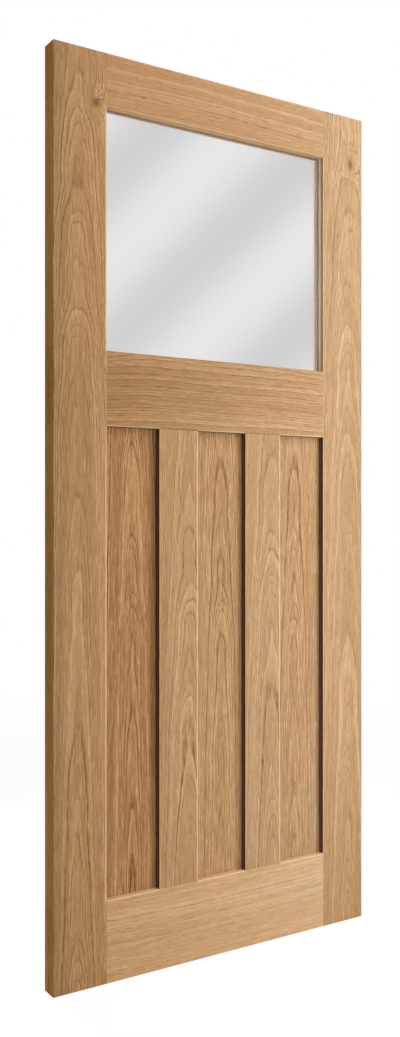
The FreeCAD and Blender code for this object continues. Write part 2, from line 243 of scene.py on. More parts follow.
class EffectGroup:
    """A shader node group with named inputs and outputs, built once and shared."""

    def __init__(self, name: str, inputs: Sockets, outputs: Sockets) -> None:
        """Make the group's tree and its sockets.

        Args:
            name: The group's name.
            inputs: Names of the inputs of each kind.
            outputs: Names of the outputs of each kind.
        """
        self.tree = bpy.data.node_groups.new(name, "ShaderNodeTree")
        for way, sockets in (("INPUT", inputs), ("OUTPUT", outputs)):
            for kind, names in sockets.items():
                for socket in names:
                    self.tree.interface.new_socket(socket, in_out=way, socket_type=kind.value)
        self.graph = Graph(self.tree)
        self.inputs = self.tree.nodes.new("NodeGroupInput").outputs
        self.outputs = self.tree.nodes.new("NodeGroupOutput").inputs

    def put_out(self, **values: Socket) -> None:
        """Link the group's outputs, named with _ for a blank."""
        for name, value in values.items():
            self.graph.feed(self.outputs[name.replace("_", " ").title()], value)

    def corner_distances(self) -> tuple[Socket, Socket]:
        """Measure from the inputs Low and High, two corners of a member or an opening.

        Returns:
            The way up from the low corner, and the way up to the high one.
        """
        above = self.graph.vector_math("SUBTRACT", self.inputs["Vector"], self.inputs["Low"])
        below = self.graph.vector_math("SUBTRACT", self.inputs["High"], self.inputs["Vector"])
        return above, below

    def edge_distances(self) -> tuple[Socket, ...]:
        """Return how far a place is from the low and from the high long edge, along the input Across."""
        return tuple(self.graph.dot(way, self.inputs["Across"]) for way in self.corner_distances())


class GrowthRings(EffectGroup):
    """Growth rings round a pith that wanders along the board, so that a flat cut shows arches."""

    WANDER_WAVES: Waves = (0.6, 0.6, 3.2)
    WANDER = 0.012
    DRIFT = 0.005
    RIPPLE_WAVES: Waves = (40.0, 40.0, 10.0)
    RIPPLE = 0.0042
    LEAN_WAVES = 0.26
    LEAN_YEARS = 3.0
    ROW_WAVES: Waves = (220.0, 220.0, 36.0)
    ROW_SPAN: Span = (0.36, 0.56)
    ROW_SHARE = 0.72
    WEATHER_SHARE = 0.8
    FLANK_SPAN: Span = (0.0, 0.40)
    FLANK_SHARE = 0.60
    EARLY_RISE: Span = (0.0, 0.07)
    EARLY_FALL: Span = (0.10, 0.30)
    LATE_RISE: Span = (0.42, 0.98)

    def __init__(self) -> None:
        """Build the ring field from the distance to the pith."""
        super().__init__(
            "growth_rings",
            {SocketKind.VECTOR: ("Vector",),
             SocketKind.VALUE: ("Pith Across", "Pith Depth", "Ring Width", "Push", "Seed")},
            {SocketKind.VALUE: ("Early", "Late", "Ring Tone")},
        )
        graph, given = self.graph, self.inputs
        vector, seed = given["Vector"], given["Seed"]
        across, depth, _ = graph.split(vector)
        wander = graph.noise(vector, self.WANDER_WAVES, seed, detail=1.0)
        wander_across, wander_depth, _ = graph.split(wander.outputs["Color"])
        lateral = graph.math("SUBTRACT", across, given["Pith Across"])
        lateral = graph.math("MULTIPLY_ADD", wander_across, self.WANDER, lateral)
        lateral = graph.math("SUBTRACT", lateral, self.WANDER / 2)
        radial = graph.math("SUBTRACT", depth, given["Pith Depth"])
        radial = graph.math("MULTIPLY_ADD", wander_depth, self.DRIFT, radial)
        squares = graph.math("MULTIPLY_ADD", radial, radial, graph.math("MULTIPLY", lateral, lateral))
        radius = graph.math("SQRT", squares)
        aside = graph.math("DIVIDE", graph.math("ABSOLUTE", lateral), radius)

        ripple = graph.noise(vector, self.RIPPLE_WAVES, seed, detail=4.0)
        radius = graph.math("ADD", radius, given["Push"])
        radius = graph.math("MULTIPLY_ADD", ripple.outputs[0], self.RIPPLE, radius)
        count = graph.math("DIVIDE", radius, given["Ring Width"])
        lean = graph.node("ShaderNodeTexNoise", noise_dimensions="1D")
        graph.feed(lean.inputs["W"], graph.math("MULTIPLY_ADD", count, self.LEAN_WAVES, seed))
        graph.feed(lean.inputs["Scale"], 1.0)
        graph.feed(lean.inputs["Detail"], 1.0)
        count = graph.math("MULTIPLY_ADD", lean.outputs[0], self.LEAN_YEARS, count)
        year = graph.math("FLOOR", count)
        season = graph.math("FRACT", count)

        weather = graph.node("ShaderNodeTexWhiteNoise", noise_dimensions="1D")
        graph.feed(weather.inputs["W"], graph.math("ADD", year, seed))
        rows = graph.noise(vector, self.ROW_WAVES, seed, detail=3.0)
        broken = graph.soften(graph.step(rows.outputs[0], *self.ROW_SPAN), self.ROW_SHARE)
        flank = graph.soften(graph.step(aside, *self.FLANK_SPAN), self.FLANK_SHARE)
        strong = graph.soften(weather.outputs["Value"], self.WEATHER_SHARE)
        vigour = graph.math("MULTIPLY", graph.math("MULTIPLY", strong, broken), flank)
        rise = graph.step(season, *self.EARLY_RISE)
        fall = graph.flip(graph.step(season, *self.EARLY_FALL))
        self.put_out(
            early=graph.math("MULTIPLY", graph.math("MULTIPLY", rise, fall), vigour),
            late=graph.math("MULTIPLY", graph.step(season, *self.LATE_RISE), vigour),
            ring_tone=weather.outputs["Value"],
        )


class OakFibre(EffectGroup):
    """Pores, fibres and ray flecks, all drawn out along the grain."""

    PORE_WAVES: Waves = (500.0, 500.0, 52.0)
    PORE_SPAN: Span = (0.52, 0.64)
    EARLY_SHARE = 0.75
    FIBRE_WAVES: Waves = (260.0, 260.0, 20.0)
    FLECK_WAVES: Waves = (300.0, 160.0, 34.0)
    FLECK_SPAN: Span = (0.60, 0.74)
    STREAK_WAVES: Waves = (26.0, 26.0, 1.1)

    def __init__(self) -> None:
        """Build the stretched noises and cut the pores and flecks out of them."""
        super().__init__(
            "oak_fibre",
            {SocketKind.VECTOR: ("Vector",), SocketKind.VALUE: ("Early", "Seed")},
            {SocketKind.VALUE: ("Pores", "Fibre", "Flecks", "Streaks")},
        )
        graph, given = self.graph, self.inputs
        vector, seed = given["Vector"], given["Seed"]
        fine = graph.noise(vector, self.PORE_WAVES, seed, detail=1.0)
        pores = graph.step(fine.outputs[0], *self.PORE_SPAN)
        fleck = graph.noise(vector, self.FLECK_WAVES, seed, detail=1.0)
        self.put_out(
            pores=graph.math("MULTIPLY", pores, graph.soften(given["Early"], self.EARLY_SHARE)),
            fibre=graph.noise(vector, self.FIBRE_WAVES, seed, detail=3.0).outputs[0],
            flecks=graph.step(fleck.outputs[0], *self.FLECK_SPAN),
            streaks=graph.noise(vector, self.STREAK_WAVES, seed, detail=2.0).outputs[0],
        )


class KnotSwirl(EffectGroup):
    """A small knot: it pushes the rings aside and is darker at its heart."""

    WOBBLE_WAVES: Waves = (60.0, 60.0, 40.0)
    LENGTH = 1.5
    SWIRL_FALL = -1.0
    HEART_FALL = -9.0
    PUSH = 0.55

    def __init__(self) -> None:
        """Build the swirl from the distance to the knot, longer along the grain."""
        super().__init__(
            "knot_swirl",
            {SocketKind.VECTOR: ("Vector", "Centre"), SocketKind.VALUE: ("Size", "Seed")},
            {SocketKind.VALUE: ("Push", "Heart")},
        )
        graph, given = self.graph, self.inputs
        away = graph.vector_math("SUBTRACT", given["Vector"], given["Centre"])
        across, _, along = graph.split(away)
        wobble = graph.noise(given["Vector"], self.WOBBLE_WAVES, given["Seed"], detail=2.0)
        across = graph.math("DIVIDE", across, given["Size"])
        along = graph.math("DIVIDE", along, graph.math("MULTIPLY", given["Size"], self.LENGTH))
        squares = graph.math("MULTIPLY_ADD", across, across, graph.math("MULTIPLY", along, along))
        squares = graph.math("MULTIPLY", squares, graph.around_one(wobble))
        swirl = graph.math("EXPONENT", graph.math("MULTIPLY", squares, self.SWIRL_FALL))
        heart = graph.math("EXPONENT", graph.math("MULTIPLY", squares, self.HEART_FALL))
        reach = graph.math("MULTIPLY", given["Size"], self.PUSH)
        self.put_out(push=graph.math("MULTIPLY", swirl, reach), heart=heart)


class OakTone(EffectGroup):
    """The colour, roughness and relief of a board, from its rings, fibres and knots."""

    EARLY = -0.62
    LATE = 0.26
    FIBRE = 0.90
    FLECKS = 0.24
    THREAD_MIDDLE = 0.45
    STREAKS = 0.50
    LOWEST = 0.25
    RING_TONE = 0.14
    HEART = -1.0
    BODY_STOP = 0.55
    PORES = 0.75
    PORE_DULLNESS = 0.22
    FIBRE_DULLNESS = 0.10
    EARLY_HOLLOW = 0.12

    def __init__(self, finish: "OakFinish") -> None:
        """Build the board's light and dark, and colour it.

        Args:
            finish: Colours and sheen of the oak.
        """
        super().__init__(
            "oak_tone",
            {SocketKind.VALUE: ("Early", "Late", "Ring Tone", "Fibre", "Streaks", "Flecks", "Pores",
                                "Heart", "Figure", "Texture", "Tone"),
             SocketKind.COLOUR: ("Cast",)},
            {SocketKind.COLOUR: ("Colour",), SocketKind.VALUE: ("Roughness", "Hollow")},
        )
        graph, given = self.graph, self.inputs
        lines = graph.math("MULTIPLY", given["Early"], self.EARLY)
        lines = graph.math("MULTIPLY_ADD", given["Late"], self.LATE, lines)
        threads = graph.math("MULTIPLY", given["Fibre"], self.FIBRE)
        threads = graph.math("MULTIPLY_ADD", given["Flecks"], self.FLECKS, threads)
        threads = graph.math("SUBTRACT", threads, self.THREAD_MIDDLE)
        level = graph.math("MULTIPLY_ADD", given["Streaks"], self.STREAKS, self.LOWEST)
        level = graph.math("MULTIPLY_ADD", lines, given["Figure"], level)
        level = graph.math("MULTIPLY_ADD", threads, given["Texture"], level)
        level = graph.math("MULTIPLY_ADD", given["Ring Tone"], self.RING_TONE, level)
        level = graph.math("MULTIPLY_ADD", given["Heart"], self.HEART, level)
        colour = graph.ramp(level, ((0.0, finish.early), (self.BODY_STOP, finish.body), (1.0, finish.late)))
        colour = graph.blend(graph.math("MULTIPLY", given["Pores"], self.PORES), colour, finish.pore)
        toned = graph.node("ShaderNodeGamma", colour, given["Tone"]).outputs["Color"]
        dull = graph.math("MULTIPLY_ADD", given["Pores"], self.PORE_DULLNESS, finish.sheen_roughness)
        self.put_out(
            colour=graph.blend(1.0, toned, given["Cast"], "MULTIPLY"),
            roughness=graph.math("MULTIPLY_ADD", given["Fibre"], self.FIBRE_DULLNESS, dull),
            hollow=graph.math("MULTIPLY_ADD", given["Early"], self.EARLY_HOLLOW, given["Pores"]),
        )


class ArrisWearAndHighlight(EffectGroup):
    """The paler lines along the two long arrises of a member: partly wear where sanding thins the finish,
    partly a painted highlight, stronger on the arrises that catch the light.
    """

    PATCH_WAVES: Waves = (40.0, 40.0, 40.0)
    PATCH_SEED = 0.0
    FULL_SHARE = 0.6

    def __init__(self) -> None:
        """Build the mask from the distances to the two arrises."""
        super().__init__(
            "arris_wear_and_highlight",
            {SocketKind.VECTOR: ("Vector", "Low", "High", "Across"),
             SocketKind.VALUE: ("Reach", "Low Wear", "High Wear")},
            {SocketKind.VALUE: ("Wear",)},
        )
        graph, given = self.graph, self.inputs
        above, below = self.edge_distances()
        patchy = graph.noise(given["Vector"], self.PATCH_WAVES, self.PATCH_SEED, detail=2.0)
        reach = graph.math("MULTIPLY", given["Reach"], graph.around_one(patchy))
        start = graph.math("MULTIPLY", reach, self.FULL_SHARE)
        low = graph.math("MULTIPLY", graph.flip(graph.step(above, start, reach)), given["Low Wear"])
        high = graph.flip(graph.step(below, start, reach))
        self.put_out(wear=graph.math("MULTIPLY_ADD", high, given["High Wear"], low))


class EdgeDepth(EffectGroup):
    """Where the long edges of a member lie, split by how deep they are below the leaf's faces."""

    EDGE_SPAN: Span = (0.0003, 0.0010)
    FACE_SPAN: Span = (0.0006, 0.0018)
    DEEP_SPAN: Span = (0.003, 0.015)

    def __init__(self) -> None:
        """Build one mask for the shallow part of an edge and one for the deep part."""
        super().__init__(
            "edge_depth",
            {SocketKind.VECTOR: ("Vector", "Low", "High", "Across"), SocketKind.VALUE: ("Face",)},
            {SocketKind.VALUE: ("Shallow", "Deep")},
        )
        graph, given = self.graph, self.inputs
        nearest = graph.math("MINIMUM", *self.edge_distances())
        edge = graph.flip(graph.step(nearest, *self.EDGE_SPAN))
        _, through, _ = graph.split(given["Vector"])
        depth = graph.math("SUBTRACT", given["Face"], graph.math("ABSOLUTE", through))
        inner = graph.step(depth, *self.DEEP_SPAN)
        outer = graph.math("SUBTRACT", graph.step(depth, *self.FACE_SPAN), inner)
        self.put_out(shallow=graph.math("MULTIPLY", edge, outer), deep=graph.math("MULTIPLY", edge, inner))


class CornerShade(EffectGroup):
    """Painted shade that darkens a recessed panel round the edge of its opening."""

    def __init__(self) -> None:
        """Build the mask from the distance to the nearest edge of the opening."""
        super().__init__(
            "corner_painted_shade",
            {SocketKind.VECTOR: ("Vector", "Low", "High"), SocketKind.VALUE: ("Reach",)},
            {SocketKind.VALUE: ("Stain",)},
        )
        graph = self.graph
        above, below = (graph.split(way) for way in self.corner_distances())
        beside = graph.math("MINIMUM", above[0], below[0])
        nearest = graph.math("MINIMUM", beside, graph.math("MINIMUM", above[2], below[2]))
        self.put_out(stain=graph.flip(graph.step(nearest, 0.0, self.inputs["Reach"])))


class Speckle(EffectGroup):
    """Fine speckles, as in rubber, moulded plastic and steel."""

    SEED = 5.0
    PALE_SPAN: Span = (0.3, 0.7)

    def __init__(self) -> None:
        """Build the speckles from one fine noise."""
        super().__init__(
            "speckle",
            {SocketKind.VECTOR: ("Vector",), SocketKind.VALUE: ("Frequency", "Roughness", "Spread"),
             SocketKind.COLOUR: ("Dark", "Pale")},
            {SocketKind.COLOUR: ("Colour",), SocketKind.VALUE: ("Roughness",)},
        )
        graph, given = self.graph, self.inputs
        grain = graph.noise(given["Vector"], given["Frequency"], self.SEED, detail=3.0).outputs[0]
        self.put_out(
            colour=graph.blend(graph.step(grain, *self.PALE_SPAN), given["Dark"], given["Pale"]),
            roughness=graph.math("MULTIPLY_ADD", grain, given["Spread"], given["Roughness"]),
        )


def new_material(name: str) -> tuple[bpy.types.Material, Graph, Socket]:
    """Start a material.

    Args:
        name: The material's name.

    Returns:
        The material, its graph and the leaf's own coordinates.
    """
    material = bpy.data.materials.new(name)
    material.use_nodes = True
    graph = Graph(material.node_tree)
    return material, graph, graph.node("ShaderNodeTexCoord").outputs["Object"]


def give_material(piece: bpy.types.Object, material: bpy.types.Material) -> None:
    """Put one material on the whole of a piece.

    Args:
        piece: The piece, whose mesh stays as it is.
        material: Its new material.
    """
    if not piece.material_slots:
        piece.data.materials.append(material)
    for slot in piece.material_slots:
        slot.material = material


def new_piece(name: str, shape: bmesh.types.BMesh) -> bpy.types.Object:
    """Put a modelled shape into the scene.

    Args:
        name: The piece's name.
        shape: Its shape, which is freed.

    Returns:
        The new piece.
    """
    mesh = bpy.data.meshes.new(name)
    shape.to_mesh(mesh)
    shape.free()
    piece = bpy.data.objects.new(name, mesh)
    bpy.context.scene.collection.objects.link(piece)
    return piece


@dataclass(frozen=True)
class SpeckledFinish:
    """A fine speckled finish: its two colours, speckles a metre, roughness and metal."""

    name: str
    dark: Colour
    pale: Colour
    frequency: float
    roughness: float
    spread: float
    metallic: float = 0.0

    def make(self, speckle: Speckle) -> bpy.types.Material:
        """Make the material.

        Args:
            speckle: The shared speckles.

        Returns:
            The new material.
        """
        material, graph, place = new_material(self.name)
        shader = graph.tree.nodes["Principled BSDF"].inputs
        grain = graph.group(speckle.tree, vector=place, frequency=self.frequency, roughness=self.roughness,
                            spread=self.spread, dark=self.dark, pale=self.pale).outputs
        graph.feed(shader["Base Color"], grain["Colour"])
        graph.feed(shader["Roughness"], grain["Roughness"])
        graph.feed(shader["Metallic"], self.metallic)
        return material


class EdgeKind(Enum):
    """What a long edge of a member is in the leaf."""

    JOINT = "joint"
    REVEAL = "reveal"
    OUTER = "outer"


class ShadingCoat(Enum):
    """How an edge's painted shading or tint lies on the oak: with a body of its own, or clear enough to
    show the grain.
    """

    BODY = "MIX"
    CLEAR = "MULTIPLY"


@dataclass(frozen=True)
class EdgeShading:
    """How a kind of edge is painted with shade, light or tint: the colour and share near the faces, and
    deeper in.
    """

    shallow: Colour
    shallow_share: float
    deep: Colour
    deep_share: float
    coat: ShadingCoat = ShadingCoat.BODY


@dataclass(frozen=True)
class OakFinish:
    """Colours, wear and painted highlights, painted shade and light, edge tints and sheen of oiled oak."""

    pore: Colour = (0.110, 0.044, 0.012)
    early: Colour = (0.250, 0.110, 0.034)
    body: Colour = (0.500, 0.260, 0.100)
    late: Colour = (0.700, 0.435, 0.205)
    # Pale arris colour and its reach: wear, and a painted highlight on the arrises that catch the light.
    worn_and_highlit: Colour = (0.850, 0.590, 0.340)
    wear_and_highlight_reach: float = 4.0 * MILLIMETRE
    # Painted shade round each panel's opening: its reach and share.
    panel_shade_reach: float = 12.0 * MILLIMETRE
    panel_shade_share: float = 0.06
    # Panel reveals painted near black: painted shade in the recesses.
    panel_reveal: EdgeShading = EdgeShading((0.048, 0.003, 0.000), 1.0, (0.050, 0.004, 0.000), 1.0)
    # Glass reveals: painted shade near the faces, and painted light, paler towards the glass.
    glass_reveal: EdgeShading = EdgeShading((0.130, 0.068, 0.022), 0.80, (0.560, 0.490, 0.420), 0.85)
    # Outer edges: tinted redder and less blue, clear enough to show the grain.
    outer_edge: EdgeShading = EdgeShading((1.16, 0.95, 0.61), 1.0, (1.10, 0.89, 0.55), 1.0, ShadingCoat.CLEAR)
    sheen_roughness: float = 0.46
    edge_roughness: float = 0.42
    specular: float = 0.20
    relief: float = 0.00035
    relief_strength: float = 0.55


@dataclass(frozen=True)
class Knot:
    """A knot in a member: its place in the leaf, in metres, and the reach of its swirl."""

    right: float
    up: float
    size: float


@dataclass(frozen=True)
class OakCut:
    """How one member was sawn out of the log, and how light its wood is.

    The heart line says how far behind the middle of the member the pith lies, in millimetres, at
    places along it that are given in metres from the leaf's foot, or from its hinge edge in a rail.
    Centre is how far the pith lies to one side of it. Figure and texture are how strongly its rings
    and its fibres show, and a tone above 1 is darker. Wear is how worn its low and high long arrises
    are between the members that butt against it, partly real wear and partly a painted highlight.
    Shade is painted shade: how much darker its low long edge is than its middle. Cast is the tint of
    its wood at its foot or hinge end, and end cast the tint at the other end, where that differs; on
    the rails and the right-hand members these casts are partly a painted sheen, paler and bluer
    towards the right and the top.
    """

    node: str
    run: GrainRun
    seed: float
    heart: tuple[tuple[float, float], ...]
    centre: float = 0.0
    tone: float = 1.0
    cast: Colour = WHITE
    end_cast_and_sheen: Colour | None = None
    figure: float = 1.0
    texture: float = 1.0
    ring_width: float = 0.0038
    wear: tuple[float, float] = (0.3, 0.3)
    butting: tuple[str, ...] = ()
    shade: float = 0.0
    knots: tuple[Knot, ...] = ()
    edges: tuple[EdgeKind, EdgeKind] = (EdgeKind.JOINT, EdgeKind.JOINT)

    def along_axis(self) -> int:
        """Return the number of the axis that the grain follows."""
        return 2 if self.run is GrainRun.UPRIGHT else 0

    def across(self) -> Vector:
        """Return the direction from the low long edge to the high one."""
        return Vector((1.0, 0.0, 0.0)) if self.run is GrainRun.UPRIGHT else Vector((0.0, 0.0, 1.0))


class OakWorkshop:
    """Makes an oak material for each member from the shared effects."""

    def __init__(self, finish: OakFinish) -> None:
        """Build the shared effects once.

        Args:
            finish: Colours, wear and painted highlights, painted shade and light, edge tints and sheen of
                the oak.
        """
        self.finish = finish
        self.rings = GrowthRings()
        self.fibre = OakFibre()
        self.knot = KnotSwirl()
        self.tone = OakTone(finish)
        self.wear = ArrisWearAndHighlight()
        self.edge = EdgeDepth()
        self.stain = CornerShade()

    def dress(self, cut: OakCut, opening: tuple[Vector, Vector] | None = None) -> None:
        """Give a CAD node its oak.

        Args:
            cut: How the member was sawn.
            opening: Corners of the opening that a recessed panel shows through, if it is one.
        """
        low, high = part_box(cut.node)
        middle = (low + high) / 2
        material, graph, place = new_material(f"oak_{cut.node}")
        vector = self.grain_place(graph, cut, place, middle)
        push, heart = self.swirl_knots(graph, cut, vector, middle)
        rings = graph.group(
            self.rings.tree,
            vector=vector,
            pith_across=cut.centre,
            pith_depth=self.heart_depth(graph, cut, place),
            ring_width=cut.ring_width,
            push=push,
            seed=cut.seed,
        ).outputs
        fibre = graph.group(self.fibre.tree, vector=vector, early=rings["Early"], seed=cut.seed).outputs
        board = graph.group(
            self.tone.tree,
            early=rings["Early"],
            late=rings["Late"],
            ring_tone=rings["Ring Tone"],
            fibre=fibre["Fibre"],
            streaks=fibre["Streaks"],
            flecks=fibre["Flecks"],
            pores=fibre["Pores"],
            heart=heart,
            figure=cut.figure,
            texture=cut.texture,
            tone=cut.tone,
            cast=self.shaded_cast(graph, cut, place),
        ).outputs
        colour, roughness = board["Colour"], board["Roughness"]
        if opening is None:
            # Wear and painted highlight on the long arrises.
            colour = self.wear_and_highlight_arrises(graph, cut, place, colour)
            colour, roughness = self.shade_edges(graph, cut, place, colour, roughness)
        else:
            # Painted shade round the panel's opening.
            darker = graph.group(self.stain.tree, vector=place, low=opening[0], high=opening[1],
                                 reach=self.finish.panel_shade_reach)
            shaded_share = graph.math("MULTIPLY", darker.outputs["Stain"], self.finish.panel_shade_share)
            colour = graph.blend(shaded_share, colour, self.finish.pore)

        shader = graph.tree.nodes["Principled BSDF"].inputs
        graph.feed(shader["Base Color"], colour)
        graph.feed(shader["Roughness"], roughness)
        graph.feed(shader["Specular IOR Level"], self.finish.specular)
        relief = graph.node("ShaderNodeBump", invert=True)
        graph.feed(relief.inputs["Strength"], self.finish.relief_strength)
        graph.feed(relief.inputs["Distance"], self.finish.relief)
        graph.feed(relief.inputs["Height"], board["Hollow"])
        graph.feed(shader["Normal"], relief.outputs["Normal"])
        give_material(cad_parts[cut.node], material)
        log.info("dressed %s in oak", cut.node)

    def grain_place(self, graph: Graph, cut: OakCut, place: Socket, middle: Vector) -> Socket:
        """Turn the leaf's coordinates into the member's own.

        Args:
            graph: The material's graph.
            cut: The member's cut.
            place: Object coordinates.
            middle: The middle of the member in the leaf.

        Returns:
            Across, depth and along the grain, from the member's middle.
        """
        shift, turn = -middle, Vector()
        if cut.run is GrainRun.LEVEL:
            shift = Vector((middle.z, -middle.y, -middle.x))
            turn = Vector((0.0, -math.pi / 2, 0.0))
        grain = graph.node("ShaderNodeMapping")
        graph.feed(grain.inputs["Vector"], place)
        graph.feed(grain.inputs["Location"], shift)
        graph.feed(grain.inputs["Rotation"], turn)
        return grain.outputs["Vector"]

    def swirl_knots(self, graph: Graph, cut: OakCut, vector: Socket, middle: Vector) -> tuple[Feed, Feed]:
        """Add a member's knots.

        Args:
            graph: The material's graph.
            cut: The member's cut.
            vector: The member's own coordinates.
            middle: The middle of the member in the leaf.

        Returns:
            How far the knots push the rings aside, and how near their hearts are.
        """
        push: Feed = 0.0
        heart: Feed = 0.0
        for knot in cut.knots:
            centre = Vector((knot.right - middle.x, 0.0, knot.up - middle.z))
            if cut.run is GrainRun.LEVEL:
                centre = Vector((-centre.z, 0.0, centre.x))
            swirl = graph.group(self.knot.tree, vector=vector, centre=centre, size=knot.size, seed=cut.seed)
            push = graph.math("ADD", push, swirl.outputs["Push"])
            heart = graph.math("MAXIMUM", heart, swirl.outputs["Heart"])
        return push, heart

    def heart_depth(self, graph: Graph, cut: OakCut, place: Socket) -> Socket:
        """Read a member's heart line.

        Args:
            graph: The material's graph.
            cut: The member's cut.
            place: Object coordinates.

        Returns:
            How far behind the member's middle the pith lies, in metres.
        """
        axis = cut.along_axis()
        length = CAD_BOX[1][axis]
        deepest = max(depth for _, depth in cut.heart)
        stops = tuple((spot / length, (depth / deepest,) * 3) for spot, depth in cut.heart)
        line = graph.ramp(graph.math("DIVIDE", graph.split(place)[axis], length), stops, "EASE")
        return graph.math("MULTIPLY", line, deepest * MILLIMETRE)

    def shaded_cast(self, graph: Graph, cut: OakCut, place: Socket) -> Socket:
        """Change a member's cast from end to end, partly a painted sheen where the ends differ, and darken
        it towards its low long edge as painted shade.

        Args:
            graph: The material's graph.
            cut: The member's cut.
            place: Object coordinates.

        Returns:
            The cast at a place in the member.
        """
        low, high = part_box(cut.node)
        across = cut.across()
        along = Vector((1.0, 0.0, 1.0)) - across
        inward = graph.vector_math("SUBTRACT", place, low)
        share = graph.math("DIVIDE", graph.dot(inward, along), (high - low).dot(along))
        # Painted sheen: where a member's end cast differs, its wood grows paler and bluer towards that end.
        cast = graph.blend(share, cut.cast, cut.end_cast_and_sheen or cut.cast)
        # Painted shade: the wood darkens towards the low long edge, fading out by the middle.
        clear = graph.step(graph.dot(inward, across), 0.0, (high - low).dot(across) / 2)
        return graph.blend(graph.math("MULTIPLY", graph.flip(clear), cut.shade), cast, BLACK)

    def clear_of_joints(self, graph: Graph, cut: OakCut, place: Socket) -> Feed:
        """Say where a member's long edges are free.

        Args:
            graph: The material's graph.
            cut: The member's cut.
            place: Object coordinates.

        Returns:
            A mask that is 0 where another member butts against it and 1 elsewhere.
        """
        axis = cut.along_axis()
        along = graph.split(place)[axis]
        clear: Feed = 1.0
        for node in cut.butting:
            start, end = (corner[axis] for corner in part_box(node))
            joint = graph.math("COMPARE", along, (start + end) / 2, (end - start) / 2)
            clear = graph.math("SUBTRACT", clear, joint)
        return clear

    def wear_and_highlight_arrises(self, graph: Graph, cut: OakCut, place: Socket, colour: Socket) -> Socket:
        """Lighten a member's long arrises between the members that butt against it, as wear and painted
        highlight.

        Args:
            graph: The material's graph.
            cut: The member's cut.
            place: Object coordinates.
            colour: The oak's colour so far.

        Returns:
            The colour with its arrises worn and painted with highlights.
        """
        low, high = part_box(cut.node)
        worn_and_highlit = graph.group(self.wear.tree, vector=place, low=low, high=high, across=cut.across(),
                           reach=self.finish.wear_and_highlight_reach, low_wear=cut.wear[0], high_wear=cut.wear[1])
        wear = graph.math("MULTIPLY", worn_and_highlit.outputs["Wear"], self.clear_of_joints(graph, cut, place))
        return graph.blend(wear, colour, self.finish.worn_and_highlit)

    def shade_edges(self, graph: Graph, cut: OakCut, place: Socket, colour: Socket,
                    roughness: Socket) -> tuple[Socket, Socket]:
        """Stain a member's reveals and outer edges, and dull them.

        Args:
            graph: The material's graph.
            cut: The member's cut.
            place: Object coordinates.
            colour: The oak's colour so far.
            roughness: Its roughness so far.

        Returns:
            Colour and roughness with the edges painted.
        """
        height = graph.split(place)[2]
        by_panels = graph.math("LESS_THAN", height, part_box("middle_rail")[0].z + MILLIMETRE)
        # Panel reveals get painted shade; glass reveals get painted shade near the faces and painted light
        # deeper in; outer edges get a tint.
        edge_shadings = (
            (EdgeKind.REVEAL, self.finish.panel_reveal, by_panels),
            (EdgeKind.REVEAL, self.finish.glass_reveal, graph.flip(by_panels)),
            (EdgeKind.OUTER, self.finish.outer_edge, 1.0),
        )
        low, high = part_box(cut.node)
        across = cut.across()
        for kind, stain, where in edge_shadings:
            if kind not in cut.edges:
                continue
            depth = graph.group(
                self.edge.tree,
                vector=place,
                low=low if cut.edges[0] is kind else low - across,
                high=high if cut.edges[1] is kind else high + across,
                across=across,
                face=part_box("left_stile")[1].y,
            ).outputs
            shallow = graph.math("MULTIPLY", depth["Shallow"], where)
            deep = graph.math("MULTIPLY", depth["Deep"], where)
            near_face = graph.math("MULTIPLY", shallow, stain.shallow_share)
            far_in = graph.math("MULTIPLY", deep, stain.deep_share)
            colour = graph.blend(near_face, colour, stain.shallow, stain.coat.value)
            colour = graph.blend(far_in, colour, stain.deep, stain.coat.value)
            both = graph.math("ADD", shallow, deep)
            roughness = graph.math("MULTIPLY_ADD", both, self.finish.edge_roughness, roughness)
        return colour, roughness


